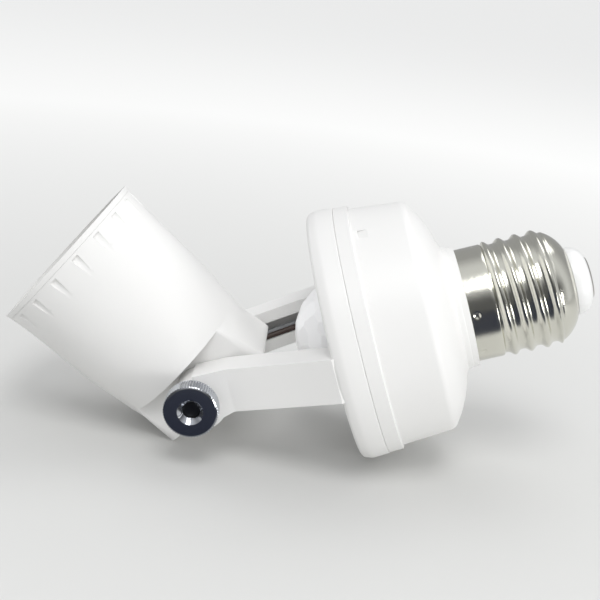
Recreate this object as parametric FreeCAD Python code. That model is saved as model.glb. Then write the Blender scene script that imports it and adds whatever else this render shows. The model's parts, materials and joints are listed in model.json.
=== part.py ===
import FreeCAD, Part
import math
import os

# Motion sensor lamp holder: a round sensor body with a screw cap at its back and two arms at its
# front, and a lamp cup that tilts between the arms and is clamped by two knurled nuts.
# All lengths are in millimetres. Each piece is drawn in the frame of the body or of the cup, and
# is then laid down as the holder rests, on the rim of the body and the back edge of the cup.
# Body frame: +X runs along the axis to the cap, x = 0 is the front plane, Y is the pivot direction.
# Cup frame: +X runs from the pivot to the mouth, Y is the pivot direction, +Z points down at rest.

V = FreeCAD.Vector

# Clearances
slide_fit = 0.05
loose_fit = 0.15
seat_gap = 0.1
join_overlap = 0.2

# Sensor body: front cover
body_radius = 28.65
cover_edge_inset = 0.65
cover_seam_inset = 0.3
cover_depth = 6.1
cover_edge_round = 1.1
cover_rim_x = 2.2
cover_rim_round = 3.0
seam_round = 0.25
cover_side_wall = 2.0
cover_front_wall = 2.0
snap_lip_depth = 2.6
snap_lip_wall = 1.1

# Sensor body: rear shell
band_inset = 0.45
band_draft = 0.15
band_depth = 3.2
side_front_inset = 1.4
side_back_inset = 2.5
side_depth = 12.2
shoulder_mid_x = 24.4
shoulder_mid_inset = 6.95
shoulder_end_x = 26.6
shoulder_end_radius = 15.7
neck_start_x = 27.3
neck_start_radius = 14.1
neck_end_x = 29.95
neck_end_radius = 13.67
neck_step_depth = 1.2
neck_step_height = 0.18
shell_wall = 1.9
spigot_length = 5.4
spigot_wall = 1.5

# Pry notches beside the seam, a pair on opposite sides
notch_angle = 15.0
notch_width = 4.4
notch_length = 5.4
notch_depth = 0.8
notch_offset = 0.7

# Channel arms
arm_half_height = 4.93
arm_edge_inset = 0.1
arm_depth_y = 7.65
lug_gap = 0.15
arm_bend_x = -23.3
arm_root_overlap = 1.6
arm_wall = 1.5
arm_lip_height = 2.8
channel_root_x = -1.5
channel_end_x = -25.0
arm_root_inset = 0.6
lug_blend = 0.6
lug_radius = 5.9
lug_offset_x = 1.3
lug_offset_z = -0.7

# Pivot and pose of the cup
pivot_x = -31.84
pivot_z = -0.8
cup_tilt = 58.0

# Pivot screws, washers and knurled nuts
screw_radius = 1.95
screw_head_radius = 3.2
screw_head_height = 2.2
screw_end_inset = 2.1
washer_radius = 5.0
washer_thickness = 1.0
nut_radius = 5.85
nut_thickness = 4.3
nut_chamfer = 0.6
nut_countersink_radius = 2.8
nut_teeth = 48
nut_tooth_depth = 0.28

# Lamp cup
mouth_x = 41.1
mouth_radius = 19.47
cup_lip_wall = 1.35
lip_bore_length = 4.6
lip_band = 1.2
lip_line_depth = 0.28
cup_wall = 1.6
step_x = 6.0
step_radius = 17.05
neck_x = 13.0
neck_radius = 17.8
belly_x = 17.0
belly_radius = 18.2
flare_x = 29.0
flare_radius = 18.65
block_half_width = 11.3
block_upper = 15.7
block_lower = 14.4
block_start_x = -1.5
block_end_upper_x = -6.4
block_end_lower_x = -4.6
block_corner_round = 1.6
block_wall = 2.0
pocket_back_x = -3.4
cavity_corner_round = 1.5
groove_count = 18
groove_length = 6.6
groove_depth = 0.8
groove_radius = 1.0
groove_start = 1.9

# Sections of the block between the bell and its end: x, upper and lower height, crown, corner radius
block_spare = 0.05
bell_overlap = 0.2
block_sections = ((step_x + bell_overlap, step_radius - block_spare, step_radius - block_spare, 3.85, 0.5),
                  (2.0, 16.3, 15.6, 2.0, 1.2),
                  (block_start_x, block_upper + block_spare, block_lower + block_spare, 0.6, 2.0),
                  (-8.0, block_upper + block_spare, block_lower + block_spare, 0.1, 2.0))

# Edison screw, shared by the cap and the lamp socket
thread_pitch = 3.629
thread_crest_radius = 13.15
thread_root_radius = 12.25
thread_land = 0.3
thread_foot_depth = 0.15
thread_toe_height = 0.12
thread_toe_share = 0.55

# Cap
skirt_radius = 12.77
skirt_length = 5.8
cap_sheet = 0.35
first_top_crest_x = 40.37
thread_margin = 0.1
thread_rise_x = 35.9
thread_rise_length = 0.7
thread_fade_x = 48.9
thread_fade_length = 1.7
thread_fade_depth = 1.65
thread_fade_bulge = 0.35
cap_shoulder_x = 49.0
cap_dome_x = 49.6
cap_mid_x = 52.1
cap_mid_radius = 10.2
cap_hole_x = 53.6
cap_hole_radius = 7.6
cap_edge_turn = 0.3
punch_x = 31.4
punch_ball_radius = 1.2
punch_depth = 0.3
punch_angles = (-97.0, -52.0, 83.0, 128.0)
cap_insulator_x = 51.2
insulator_inner_radius = 9.3
insulator_height = 3.9
insulator_bulge = 0.9
contact_radius = 4.85
contact_thickness = 0.35
contact_stem_radius = 1.3
contact_stem_length = 4.0

# Sensor lens
lens_height = 9.0
lens_sphere_radius = 13.0
lens_wall = 0.9
lens_flange_radius = 14.2
lens_flange_thickness = 0.9
lens_opening_play = 0.4
facet_counts = (6, 12, 18, 18)
facet_first_angle = 16.0
facet_row_angle = 19.0
facet_cut = 0.16
facet_tool_radius = 3.0

# Circuit board and what it carries
board_play = 2.8
board_thickness = 1.6
board_x = 8.6
board_screw_inset = 2.8
board_screw_first_angle = 60.0
board_post_radius = 2.6
board_screw_radius = 1.1
board_screw_head_radius = 2.2
board_screw_head_height = 1.3
board_screw_reach = 4.5
screw_hole_spare = 0.5
drive_slot_width = 0.6
drive_slot_depth = 0.6
sensor_can_radius = 4.6
sensor_can_height = 4.2
sensor_flange_radius = 5.1
sensor_flange_thickness = 0.5
sensor_window = 3.4
sensor_window_depth = 0.3
light_sensor_radius = 2.5
light_sensor_height = 2.0
light_sensor_z = -8.2
component_corner_round = 0.4
relay_size = (11.5, 10.0, 15.5)
relay_y = -8.0
relay_z = 8.0
film_size = (9.0, 13.0, 6.0)
film_y = 7.6
film_z = 11.5
bulk_radius = 4.0
bulk_height = 10.5
bulk_y = 10.5
bulk_z = -3.0
chip_size = (1.6, 6.0, 10.0)
chip_y = 0.0
chip_z = -12.0
diode_radius = 1.25
diode_length = 5.0
diode_pitch = 3.2
diode_y = -16.6
diode_z = -8.0
diode_count = 4
resistor_radius = 0.95
resistor_length = 6.0
resistor_pitch = 3.0
resistor_y = 6.0
resistor_z = -13.0
resistor_count = 3

# Lamp socket inside the cup
base_x = 8.0
base_thickness = 3.0
base_rim_height = 4.0
socket_length = 25.0
socket_wall = 0.45
socket_thread_play = 0.2
socket_thread_start = 4.0
socket_floor = 0.8
socket_floor_opening = 8.4
tongue_width = 6.0
tongue_thickness = 0.6
tongue_length = 13.0
tongue_rise = 4.2
tongue_bend_z = -1.5
tongue_tip_length = 4.0
rivet_radius = 1.6
rivet_height = 0.8
rivet_inset = 2.4
socket_screw_radius = 1.4
socket_screw_head_radius = 1.8
socket_screw_head_height = 1.6
socket_screw_offset = 10.3
socket_screw_reach = 5.0
post_radius = 3.0

# Leads
lead_radius = 0.65
lead_bend = 4.0
inner_lead_bend = 2.0
grey_lead_depth = 2.6
grey_lead_z = -1.0
brown_lead_depth = 1.0
brown_lead_z = -1.45
grey_lead_inset = 1.0
brown_lead_inset = 2.6
lead_port_inset = 0.8
lead_port_radius = 2.2
cap_lead_radius = 0.8
shell_lead_z = -4.5
shell_lead_end_x = 40.0
cup_port_x = 0.0
cup_port_z = 9.0
cup_port_radius = 1.7
cup_lead_end_y = 5.4
cup_lead_end_step = 1.0
cup_lead_spread = 0.75


def polygon_face(points):
    """Flat face bounded by straight runs through the points."""
    return Part.Face(Part.makePolygon(points + [points[0]]))


def rounded_face(corners, place):
    """Flat face from (a, b, radius) corners, each with radius > 0 rounded by a tangent arc."""
    count = len(corners)
    edges = []
    starts = []
    ends = []
    for index in range(count):
        a, b, radius = corners[index]
        here = V(a, b, 0)
        before = V(corners[index - 1][0], corners[index - 1][1], 0)
        after = V(corners[(index + 1) % count][0], corners[(index + 1) % count][1], 0)
        if radius <= 0:
            starts.append(here)
            ends.append(here)
            edges.append(None)
            continue
        to_before = (before - here).normalize()
        to_after = (after - here).normalize()
        half = to_before.getAngle(to_after) / 2
        reach = radius / math.tan(half)
        first = here + to_before * reach
        last = here + to_after * reach
        bisector = (to_before + to_after).normalize()
        middle = here + bisector * (radius / math.sin(half) - radius)
        starts.append(first)
        ends.append(last)
        edges.append(Part.Arc(place(first), place(middle), place(last)).toShape())
    run = []
    for index in range(count):
        if edges[index] is not None:
            run.append(edges[index])
        following = starts[(index + 1) % count]
        if (ends[index] - following).Length > 1e-6:
            run.append(Part.LineSegment(place(ends[index]), place(following)).toShape())
    return Part.Face(Part.Wire(run))


def in_xz(point):
    """Point of a side view, as a place in the XZ plane."""
    return V(point.x, 0, point.y)


def turned(corners):
    """Solid turned about X from (x, radius, rounding) corners."""
    return rounded_face(corners, in_xz).revolve(V(0, 0, 0), V(1, 0, 0), 360)


def turned_edges(edges):
    """Solid turned about X from a closed run of edges in the XZ plane."""
    return Part.Face(Part.Wire(edges)).revolve(V(0, 0, 0), V(1, 0, 0), 360)


def line(a, b):
    """Straight edge in the XZ plane between two (x, z) points."""
    return Part.LineSegment(V(a[0], 0, a[1]), V(b[0], 0, b[1])).toShape()


def arc(a, b, c):
    """Arc in the XZ plane through three (x, z) points."""
    return Part.Arc(V(a[0], 0, a[1]), V(b[0], 0, b[1]), V(c[0], 0, c[1])).toShape()


def curve(points):
    """Smooth curve in the XZ plane through the (x, z) points."""
    spline = Part.BSplineCurve()
    spline.interpolate([V(x, 0, z) for x, z in points])
    return spline.toShape()


def offset_arc(a, b, c, distance):
    """The three points of an arc, each moved towards the arc's centre."""
    centre = Part.Circle(V(a[0], a[1], 0), V(b[0], b[1], 0), V(c[0], c[1], 0)).Center
    moved = []
    for x, z in (a, b, c):
        point = V(x, z, 0)
        inward = point + (centre - point).normalize() * distance
        moved.append((inward.x, inward.y))
    return moved


def bulged(a, b, height):
    """Point beside the middle of the run from a to b, on its outer side."""
    run = math.hypot(b[0] - a[0], b[1] - a[1])
    out_x = (a[1] - b[1]) / run * height
    out_z = (b[0] - a[0]) / run * height
    return ((a[0] + b[0]) / 2 + out_x, (a[1] + b[1]) / 2 + out_z)


def disc(x, radius, length, y=0.0, z=0.0):
    """Cylinder along X that starts at x."""
    return Part.makeCylinder(radius, length, V(x, y, z), V(1, 0, 0))


def pin_along_y(y, radius, length, x, z):
    """Cylinder along Y between y and y + length."""
    return Part.makeCylinder(radius, length, V(x, y, z), V(0, 1, 0))


def block(x0, x1, y0, y1, z0, z1):
    """Box between the given planes."""
    return Part.makeBox(x1 - x0, y1 - y0, z1 - z0, V(x0, y0, z0))


def mirrored_y(shape):
    """The same piece on the other side of the pivot's middle plane."""
    return shape.mirror(V(0, 0, 0), V(0, 1, 0))


def about_x(shape, angle):
    """Copy turned about the X axis."""
    copy = shape.copy()
    copy.rotate(V(0, 0, 0), V(1, 0, 0), angle)
    return copy


def long_edges(box):
    """The edges of a box that run along X."""
    return [edge for edge in box.Edges if edge.BoundBox.XLength > 1]


def single(shape):
    """The one solid of a boolean result, with its leftover seams removed."""
    clean = shape.removeSplitter()
    return max(clean.Solids, key=lambda solid: solid.Volume)


def ring_positions(count, radius, first_angle):
    """(y, z) places spread evenly on a ring about the X axis."""
    places = []
    for index in range(count):
        angle = math.radians(first_angle + 360.0 * index / count)
        places.append((radius * math.sin(angle), radius * math.cos(angle)))
    return places


def edison_ridge(root_radius, crest_radius, start_x, turns, top_crest_x):
    """Rounded screw ridge wound to the right about X, with a crest on top at top_crest_x."""
    height = crest_radius - root_radius
    half = thread_pitch / 2 - thread_land
    knee = half / 2
    foot = root_radius - thread_foot_depth
    rise = height / 2
    points = [V(root_radius, 0, -half), V(root_radius + rise, 0, -knee), V(crest_radius, 0, 0),
              V(root_radius + rise, 0, knee), V(root_radius, 0, half)]
    toe = root_radius + thread_toe_height
    low_mid = V(toe, 0, -half + knee * thread_toe_share)
    high_mid = V(toe, 0, half - knee * thread_toe_share)
    crown = Part.Arc(points[1], points[2], points[3]).toShape()
    left_root = Part.Arc(points[0], low_mid, points[1]).toShape()
    right_root = Part.Arc(points[3], high_mid, points[4]).toShape()
    left_foot = Part.LineSegment(V(foot, 0, -half), points[0]).toShape()
    right_foot = Part.LineSegment(points[4], V(foot, 0, half)).toShape()
    bottom = Part.LineSegment(V(foot, 0, half), V(foot, 0, -half)).toShape()
    profile = Part.Wire([left_foot, left_root, crown, right_root, right_foot, bottom])
    helix = Part.makeHelix(thread_pitch, thread_pitch * turns, root_radius)
    sweep = Part.BRepOffsetAPI.MakePipeShell(Part.Wire(helix.Edges))
    sweep.setFrenetMode(True)
    sweep.add(profile)
    sweep.build()
    sweep.makeSolid()
    ridge = sweep.shape()
    # The helix starts at +X of its own frame, which the quarter turn below takes to the bottom.
    ridge.rotate(V(0, 0, 0), V(0, 1, 0), 90)
    phase = (top_crest_x - thread_pitch / 2 - start_x) / thread_pitch
    ridge.rotate(V(0, 0, 0), V(1, 0, 0), -360.0 * phase)
    ridge.translate(V(start_x, 0, 0))
    return ridge


# Places that several pieces share
cover_edge_radius = body_radius - cover_edge_inset
cover_seam_radius = body_radius - cover_seam_inset
side_front_radius = body_radius - side_front_inset
side_back_radius = body_radius - side_back_inset
snap_lip_radius = cover_seam_radius - cover_side_wall - slide_fit
board_radius = snap_lip_radius - snap_lip_wall - board_play
board_screw_ring = board_radius - board_screw_inset
lead_port_y = board_radius - lead_port_inset
step_back_x = cover_depth + band_depth
side_end_x = step_back_x + side_depth
lens_base_x = lens_sphere_radius - lens_height
lug_inner_y = block_half_width + lug_gap
lug_outer_y = lug_inner_y + arm_depth_y
arm_outer_y = cover_edge_radius - arm_edge_inset
arm_slope = (lug_outer_y - arm_outer_y) / arm_bend_x
contact_x = cap_hole_x + insulator_height
washer_back_y = lug_outer_y
nut_back_y = washer_back_y + washer_thickness
nut_front_y = nut_back_y + nut_thickness
screw_end_y = nut_front_y - screw_end_inset
head_seat_y = block_half_width - block_wall
board_back_x = board_x + board_thickness
base_top_x = base_x + base_thickness


def make_arm():
    """Near arm: a channel that is open towards the cup, with a rounded lug for the pivot."""
    root_x = arm_root_overlap
    root_outer = arm_outer_y - arm_root_inset
    end_x = pivot_x - 2 * lug_radius
    plan = [V(root_x, -root_outer, 0), V(0, -arm_outer_y, 0), V(arm_bend_x, -lug_outer_y, 0),
            V(end_x, -lug_outer_y, 0), V(end_x, -lug_inner_y, 0), V(arm_bend_x, -lug_inner_y, 0),
            V(0, -(arm_outer_y - arm_depth_y), 0), V(root_x, -(arm_outer_y - arm_depth_y), 0)]
    plan_face = polygon_face(plan)
    tall = 4 * arm_half_height
    plan_face.translate(V(0, 0, -tall / 2))
    planks = plan_face.extrude(V(0, 0, tall))
    centre_x = pivot_x + lug_offset_x
    centre_z = pivot_z + lug_offset_z
    lug_disc = pin_along_y(-arm_outer_y, lug_radius, arm_outer_y, centre_x, centre_z)
    top = arm_half_height
    side = [V(root_x, 0, top), V(root_x, 0, -top), V(arm_bend_x - lug_blend, 0, -top),
            V(centre_x + lug_radius * math.sqrt(0.5), 0, centre_z - lug_radius * math.sqrt(0.5)),
            V(centre_x, 0, centre_z), V(centre_x, 0, top), V(arm_bend_x, 0, top)]
    side_face = polygon_face(side)
    side_face.translate(V(0, -arm_outer_y, 0))
    side_solid = side_face.extrude(V(0, arm_outer_y, 0)).fuse(lug_disc)
    flat_top = block(end_x, root_x, -arm_outer_y - 1, 0, top, tall)
    arm = planks.common(side_solid.cut(flat_top))
    slot_half = arm_half_height - arm_lip_height
    slot_bend_y = lug_outer_y - arm_wall
    slot = [V(channel_root_x, -(arm_outer_y + arm_slope * channel_root_x - arm_wall), 0),
            V(arm_bend_x, -slot_bend_y, 0), V(channel_end_x, -slot_bend_y, 0),
            V(channel_end_x, 0, 0), V(channel_root_x, 0, 0)]
    slot_face = polygon_face(slot)
    slot_face.translate(V(0, 0, -slot_half))
    arm = arm.cut(slot_face.extrude(V(0, 0, 2 * slot_half)))
    hole = pin_along_y(-arm_outer_y, screw_radius + slide_fit, arm_outer_y, pivot_x, pivot_z)
    return single(arm.cut(hole))


def cover_corners():
    """Outer corners of the front cover's section, from the lens opening to the seam."""
    return [(0, lens_opening_radius(), 0), (0, cover_edge_radius, cover_edge_round),
            (cover_rim_x, body_radius, cover_rim_round), (cover_depth, cover_seam_radius, seam_round)]


def make_front_cover():
    """Front cover: a shallow dish with the lens opening, moulded in one with both arms."""
    inner = cover_seam_radius - cover_side_wall
    opening = lens_opening_radius()
    dish = turned(cover_corners() + [(cover_depth, inner, 0), (cover_front_wall, inner, 0.8),
                                     (cover_front_wall, opening, 0)])
    near = make_arm()
    body = dish.fuse([near, mirrored_y(near)])
    post_length = board_x - cover_front_wall + join_overlap
    for y, z in ring_positions(3, board_screw_ring, board_screw_first_angle):
        body = body.fuse(disc(cover_front_wall - join_overlap, board_post_radius, post_length, y, z))
    for y, z in ring_positions(3, board_screw_ring, board_screw_first_angle):
        depth = board_screw_reach + screw_hole_spare
        body = body.cut(disc(board_x - depth, board_screw_radius, depth + 1, y, z))
    port_start = channel_root_x - screw_hole_spare
    port = disc(port_start, lead_port_radius, cover_front_wall + 1 - port_start, lead_port_y, brown_lead_z)
    return single(body.cut(port))


def lens_opening_radius():
    """Radius of the front wall's opening, where the lens dome passes through it."""
    return math.sqrt(lens_sphere_radius ** 2 - lens_base_x ** 2) + lens_opening_play


def make_rear_shell():
    """Rear shell: band, tapered side, rounded shoulder, neck and the spigot that holds the cap."""
    wall = shell_wall
    spigot_radius = skirt_radius - cap_sheet - slide_fit
    spigot_bore = spigot_radius - spigot_wall
    spigot_end_x = neck_end_x + spigot_length
    step_x1 = neck_start_x + neck_step_depth
    lip_outer = snap_lip_radius
    lip_inner = lip_outer - snap_lip_wall
    band_radius = body_radius - band_inset
    shoulder_mid_radius = body_radius - shoulder_mid_inset
    lip_x = cover_depth - snap_lip_depth
    outside = [line((lip_x, lip_inner), (lip_x, lip_outer)),
               line((lip_x, lip_outer), (cover_depth + seat_gap, lip_outer)),
               line((cover_depth + seat_gap, lip_outer), (cover_depth + seat_gap, band_radius)),
               line((cover_depth + seat_gap, band_radius), (step_back_x, band_radius - band_draft)),
               line((step_back_x, band_radius - band_draft), (step_back_x + band_draft, side_front_radius)),
               line((step_back_x + band_draft, side_front_radius), (side_end_x, side_back_radius)),
               arc((side_end_x, side_back_radius), (shoulder_mid_x, shoulder_mid_radius),
                   (shoulder_end_x, shoulder_end_radius)),
               line((shoulder_end_x, shoulder_end_radius), (neck_start_x, neck_start_radius)),
               line((neck_start_x, neck_start_radius), (step_x1, neck_start_radius - neck_step_height)),
               line((step_x1, neck_start_radius - neck_step_height),
                    (step_x1, neck_start_radius - 2 * neck_step_height)),
               line((step_x1, neck_start_radius - 2 * neck_step_height), (neck_end_x, neck_end_radius)),
               line((neck_end_x, neck_end_radius), (neck_end_x, spigot_radius)),
               line((neck_end_x, spigot_radius), (spigot_end_x, spigot_radius))]
    inner = offset_arc((side_end_x, side_back_radius), (shoulder_mid_x, shoulder_mid_radius),
                       (shoulder_end_x, shoulder_end_radius), wall)
    inside = [line((spigot_end_x, spigot_radius), (spigot_end_x, spigot_bore)),
              line((spigot_end_x, spigot_bore), (inner[2][0], spigot_bore)),
              line((inner[2][0], spigot_bore), inner[2]),
              arc(inner[2], inner[1], inner[0]),
              line(inner[0], (step_back_x, side_front_radius - wall)),
              line((step_back_x, side_front_radius - wall), (lip_x, lip_inner))]
    shell = turned_edges(outside + inside)
    notch = make_notch()
    shell = shell.cut(notch).cut(about_x(notch, 180))
    return single(shell)


def make_notch():
    """Sloping pry notch beside the band, deepest at its front end."""
    front = step_back_x + notch_offset
    low = side_front_radius - notch_depth
    wedge = polygon_face([V(front, -notch_width / 2, low), V(front, -notch_width / 2, low + 4),
                          V(front + notch_length, -notch_width / 2, low + 4),
                          V(front + notch_length, -notch_width / 2, side_front_radius)])
    return about_x(wedge.extrude(V(0, notch_width, 0)), notch_angle)


def make_lens():
    """Domed sensor lens with flat facets over the dome and a flange behind the front wall."""
    opening = lens_opening_radius() - loose_fit
    inner_radius = lens_sphere_radius - lens_wall
    ball = Part.makeSphere(lens_sphere_radius, V(lens_base_x, 0, 0))
    hollow = Part.makeSphere(inner_radius, V(lens_base_x, 0, 0))
    front_half = block(-lens_height - 1, cover_front_wall, -2 * lens_sphere_radius, 2 * lens_sphere_radius,
                       -2 * lens_sphere_radius, 2 * lens_sphere_radius)
    dome = ball.common(front_half).common(disc(-lens_height - 1, opening, lens_height + cover_front_wall + 1))
    centre = V(lens_base_x, 0, 0)
    facet_distance = lens_sphere_radius - facet_cut
    for row, count in enumerate(facet_counts):
        polar = math.radians(facet_first_angle + facet_row_angle * row)
        for index in range(count):
            angle = 2 * math.pi * (index + 0.5 * (row % 2)) / count
            normal = V(-math.cos(polar), math.sin(polar) * math.sin(angle), math.sin(polar) * math.cos(angle))
            plate = Part.makeCylinder(facet_tool_radius, lens_wall, centre + normal * facet_distance, normal)
            dome = dome.cut(plate)
    flange = disc(cover_front_wall + slide_fit, lens_flange_radius, lens_flange_thickness)
    neck = disc(0, opening, cover_front_wall + slide_fit + lens_flange_thickness)
    lens = dome.fuse([flange, neck]).cut(hollow)
    bore = math.sqrt(inner_radius ** 2 - (lens_base_x - cover_front_wall) ** 2)
    return single(lens.cut(disc(cover_front_wall - 0.5, bore, 4)))


def make_cap_shell():
    """Threaded cap: plain skirt, rounded right-hand screw and a domed end round the insulator."""
    bore = thread_root_radius - cap_sheet
    skirt_end = neck_end_x + skirt_length
    sheet = cap_sheet
    core = turned_edges([
        line((neck_end_x, skirt_radius - sheet), (neck_end_x, skirt_radius)),
        line((neck_end_x, skirt_radius), (skirt_end, skirt_radius)),
        line((skirt_end, skirt_radius), (skirt_end + 0.7, thread_root_radius)),
        line((skirt_end + 0.7, thread_root_radius), (cap_dome_x, thread_root_radius)),
        arc((cap_dome_x, thread_root_radius), (cap_mid_x, cap_mid_radius), (cap_hole_x, cap_hole_radius)),
        line((cap_hole_x, cap_hole_radius), (cap_hole_x - cap_edge_turn, cap_hole_radius - 0.2)),
        arc((cap_hole_x - cap_edge_turn, cap_hole_radius - 0.2), (cap_mid_x - sheet, cap_mid_radius - sheet),
            (cap_shoulder_x, bore)),
        line((cap_shoulder_x, bore), (skirt_end, bore)),
        line((skirt_end, bore), (skirt_end, skirt_radius - sheet)),
        line((skirt_end, skirt_radius - sheet), (neck_end_x, skirt_radius - sheet))])
    start = first_top_crest_x - 1.5 * thread_pitch
    turns = math.ceil((cap_hole_x - start) / thread_pitch)
    ridge = edison_ridge(thread_root_radius, thread_crest_radius, start, turns, first_top_crest_x)
    above = thread_crest_radius + thread_margin
    rise_end_x = thread_rise_x + thread_rise_length
    fade_start = (thread_fade_x, above)
    fade_end = (thread_fade_x + thread_fade_length, above - thread_fade_depth)
    envelope = turned_edges([
        line((thread_rise_x, 0), (thread_rise_x, thread_root_radius)),
        line((thread_rise_x, thread_root_radius), (rise_end_x, above)),
        line((rise_end_x, above), fade_start),
        arc(fade_start, bulged(fade_start, fade_end, thread_fade_bulge), fade_end),
        line(fade_end, (fade_end[0], 0)),
        line((fade_end[0], 0), (thread_rise_x, 0))])
    shell = core.fuse(ridge.common(envelope))
    shell = shell.cut(disc(neck_end_x + skirt_length, bore, cap_shoulder_x - neck_end_x - skirt_length))
    for angle in punch_angles:
        ball_z = skirt_radius + punch_ball_radius - punch_depth
        mark = Part.makeSphere(punch_ball_radius, V(punch_x, 0, ball_z))
        shell = shell.cut(about_x(mark, angle))
    return single(shell)


def make_cap_insulator():
    """White insulator that closes the end of the cap and carries the centre contact."""
    seat = cap_hole_radius - cap_edge_turn
    bore = contact_stem_radius + slide_fit
    edge = (cap_hole_x + slide_fit, cap_hole_radius)
    top = (contact_x, contact_radius)
    face = turned_edges([
        line((cap_insulator_x, bore), (cap_insulator_x, insulator_inner_radius)),
        line((cap_insulator_x, insulator_inner_radius), (cap_mid_x - 0.3, cap_mid_radius - 0.9)),
        line((cap_mid_x - 0.3, cap_mid_radius - 0.9), (cap_hole_x - 0.4, seat)),
        line((cap_hole_x - 0.4, seat), (edge[0], seat)),
        line((edge[0], seat), edge),
        arc(edge, bulged(edge, top, insulator_bulge), top),
        line(top, (contact_x, bore)),
        line((contact_x, bore), (cap_insulator_x, bore))])
    return face


def make_cap_contact():
    """Centre contact: a thin disc riveted through the insulator by its hollow stem."""
    stem_start = contact_x - contact_stem_length - 2.5
    plate = turned([(contact_x, 0, 0), (contact_x, contact_radius, 0),
                    (contact_x + contact_thickness, contact_radius - 0.3, 0.2),
                    (contact_x + contact_thickness + 0.12, 0, 0)])
    stem = disc(stem_start, contact_stem_radius, contact_x - stem_start)
    return single(plate.fuse(stem).cut(disc(stem_start, cap_lead_radius, contact_x - stem_start - 0.5)))


def block_section(x, upper, lower, crown, corner):
    """Flat-sided section of the cup at x, crowned above and below, with rounded corners."""
    edges = []
    inner_y = block_half_width - corner
    diagonal = corner * math.sqrt(0.5)
    for sign, height, next_height in ((1, lower, upper), (-1, upper, lower)):
        side_z = sign * (height - crown - corner)
        shoulder_z = sign * (height - crown)
        first = V(x, sign * block_half_width, side_z)
        start = V(x, sign * inner_y, shoulder_z)
        end = V(x, -sign * inner_y, shoulder_z)
        last = V(x, -sign * block_half_width, side_z)
        rise = V(x, sign * (inner_y + diagonal), side_z + sign * diagonal)
        fall = V(x, -sign * (inner_y + diagonal), side_z + sign * diagonal)
        following = V(x, -sign * block_half_width, -sign * (next_height - crown - corner))
        edges.append(Part.Arc(first, rise, start).toShape())
        edges.append(Part.Arc(start, V(x, 0, sign * height), end).toShape())
        edges.append(Part.Arc(end, fall, last).toShape())
        edges.append(Part.LineSegment(last, following).toShape())
    return Part.Wire(edges)


def block_corners():
    """Corners of the block's side view, with its slightly leaning end."""
    tall = 2 * block_upper
    return [(block_start_x, block_lower, 0), (block_end_lower_x, block_lower, block_corner_round),
            (block_end_upper_x, -block_upper, block_corner_round), (block_start_x, -block_upper, 0),
            (block_start_x, -tall, 0), (mouth_x, -tall, 0), (mouth_x, tall, 0), (block_start_x, tall, 0)]


def make_lamp_cup():
    """Lamp cup: a round flared bell that narrows to a flat-sided block between the arms."""
    bell = turned_edges([
        line((step_x, 0), (step_x, step_radius)),
        curve([(step_x, step_radius), (neck_x, neck_radius), (belly_x, belly_radius),
               (flare_x, flare_radius), (mouth_x, mouth_radius)]),
        line((mouth_x, mouth_radius), (mouth_x, 0)),
        line((mouth_x, 0), (step_x, 0))])
    wide = 2 * mouth_radius
    back = Part.makeLoft([block_section(*row) for row in block_sections], True, False)
    side_view = rounded_face(block_corners(), in_xz)
    side_view.translate(V(0, -wide, 0))
    cup = single(bell.fuse(back.common(side_view.extrude(V(0, 2 * wide, 0)))))
    lip = mouth_radius - cup_lip_wall
    wall = cup_wall
    bore = turned_edges([
        line((base_x, 0), (base_x, step_radius - wall - 0.2)),
        curve([(base_x, step_radius - wall - 0.2), (belly_x, belly_radius - wall),
               (flare_x, flare_radius - wall), (mouth_x - lip_bore_length, lip)]),
        line((mouth_x - lip_bore_length, lip), (mouth_x + 1, lip)),
        line((mouth_x + 1, lip), (mouth_x + 1, 0)),
        line((mouth_x + 1, 0), (base_x, 0))])
    cup = cup.cut(bore)
    pocket = block(pocket_back_x, base_x + 0.5, -head_seat_y, head_seat_y, block_wall - block_upper,
                   block_lower - block_wall)
    pocket = pocket.makeFillet(cavity_corner_round, long_edges(pocket))
    cup = cup.cut(pocket)
    post_start = pocket_back_x - join_overlap
    for z in (-socket_screw_offset, socket_screw_offset):
        post = disc(post_start, post_radius, base_x - post_start, 0, z)
        hole_start = base_x - socket_screw_reach - screw_hole_spare
        cup = cup.fuse(post.cut(disc(hole_start, socket_screw_radius, socket_screw_reach + 1, 0, z)))
    cup = cup.cut(pin_along_y(-wide, screw_radius + slide_fit, 2 * wide, 0, 0))
    port = pin_along_y(0, cup_port_radius, wide, cup_port_x, cup_port_z)
    cup = cup.cut(port)
    line_x = mouth_x - lip_band
    line_top = mouth_radius + 1
    grooves = [turned([(line_x, mouth_radius - lip_line_depth, 0), (line_x - lip_line_depth, line_top, 0),
                       (line_x + lip_line_depth, line_top, 0)])]
    for index in range(groove_count):
        grooves.append(about_x(make_groove(), 90 + 360.0 * index / groove_count))
    return single(cup.cut(grooves))


def make_groove():
    """Tool for one grip groove: a round channel, deepest near the mouth, that runs out along the bell."""
    start_x = mouth_x - groove_start
    flare = (mouth_radius - flare_radius) / (mouth_x - flare_x)
    start_z = mouth_radius - groove_start * flare - groove_depth + groove_radius
    run = V(-groove_length, 0, groove_depth - groove_length * flare)
    return Part.makeCylinder(groove_radius, 2 * groove_length, V(start_x, 0, start_z), run)


def make_socket_base():
    """Insulating base that closes the block and carries the screw shell and the contact."""
    base_radius = step_radius - cup_wall - 0.2 - loose_fit
    shell_seat = thread_crest_radius + socket_thread_play + socket_wall + slide_fit
    body = disc(base_x, base_radius, base_thickness)
    rim = disc(base_top_x - 0.01, base_radius, base_rim_height).cut(
        disc(base_top_x - 0.02, shell_seat, base_rim_height + 1))
    body = body.fuse(rim)
    for z in (-socket_screw_offset, socket_screw_offset):
        body = body.cut(disc(base_x - 1, socket_screw_radius + loose_fit, base_thickness + 2, 0, z))
    return single(body)


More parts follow.
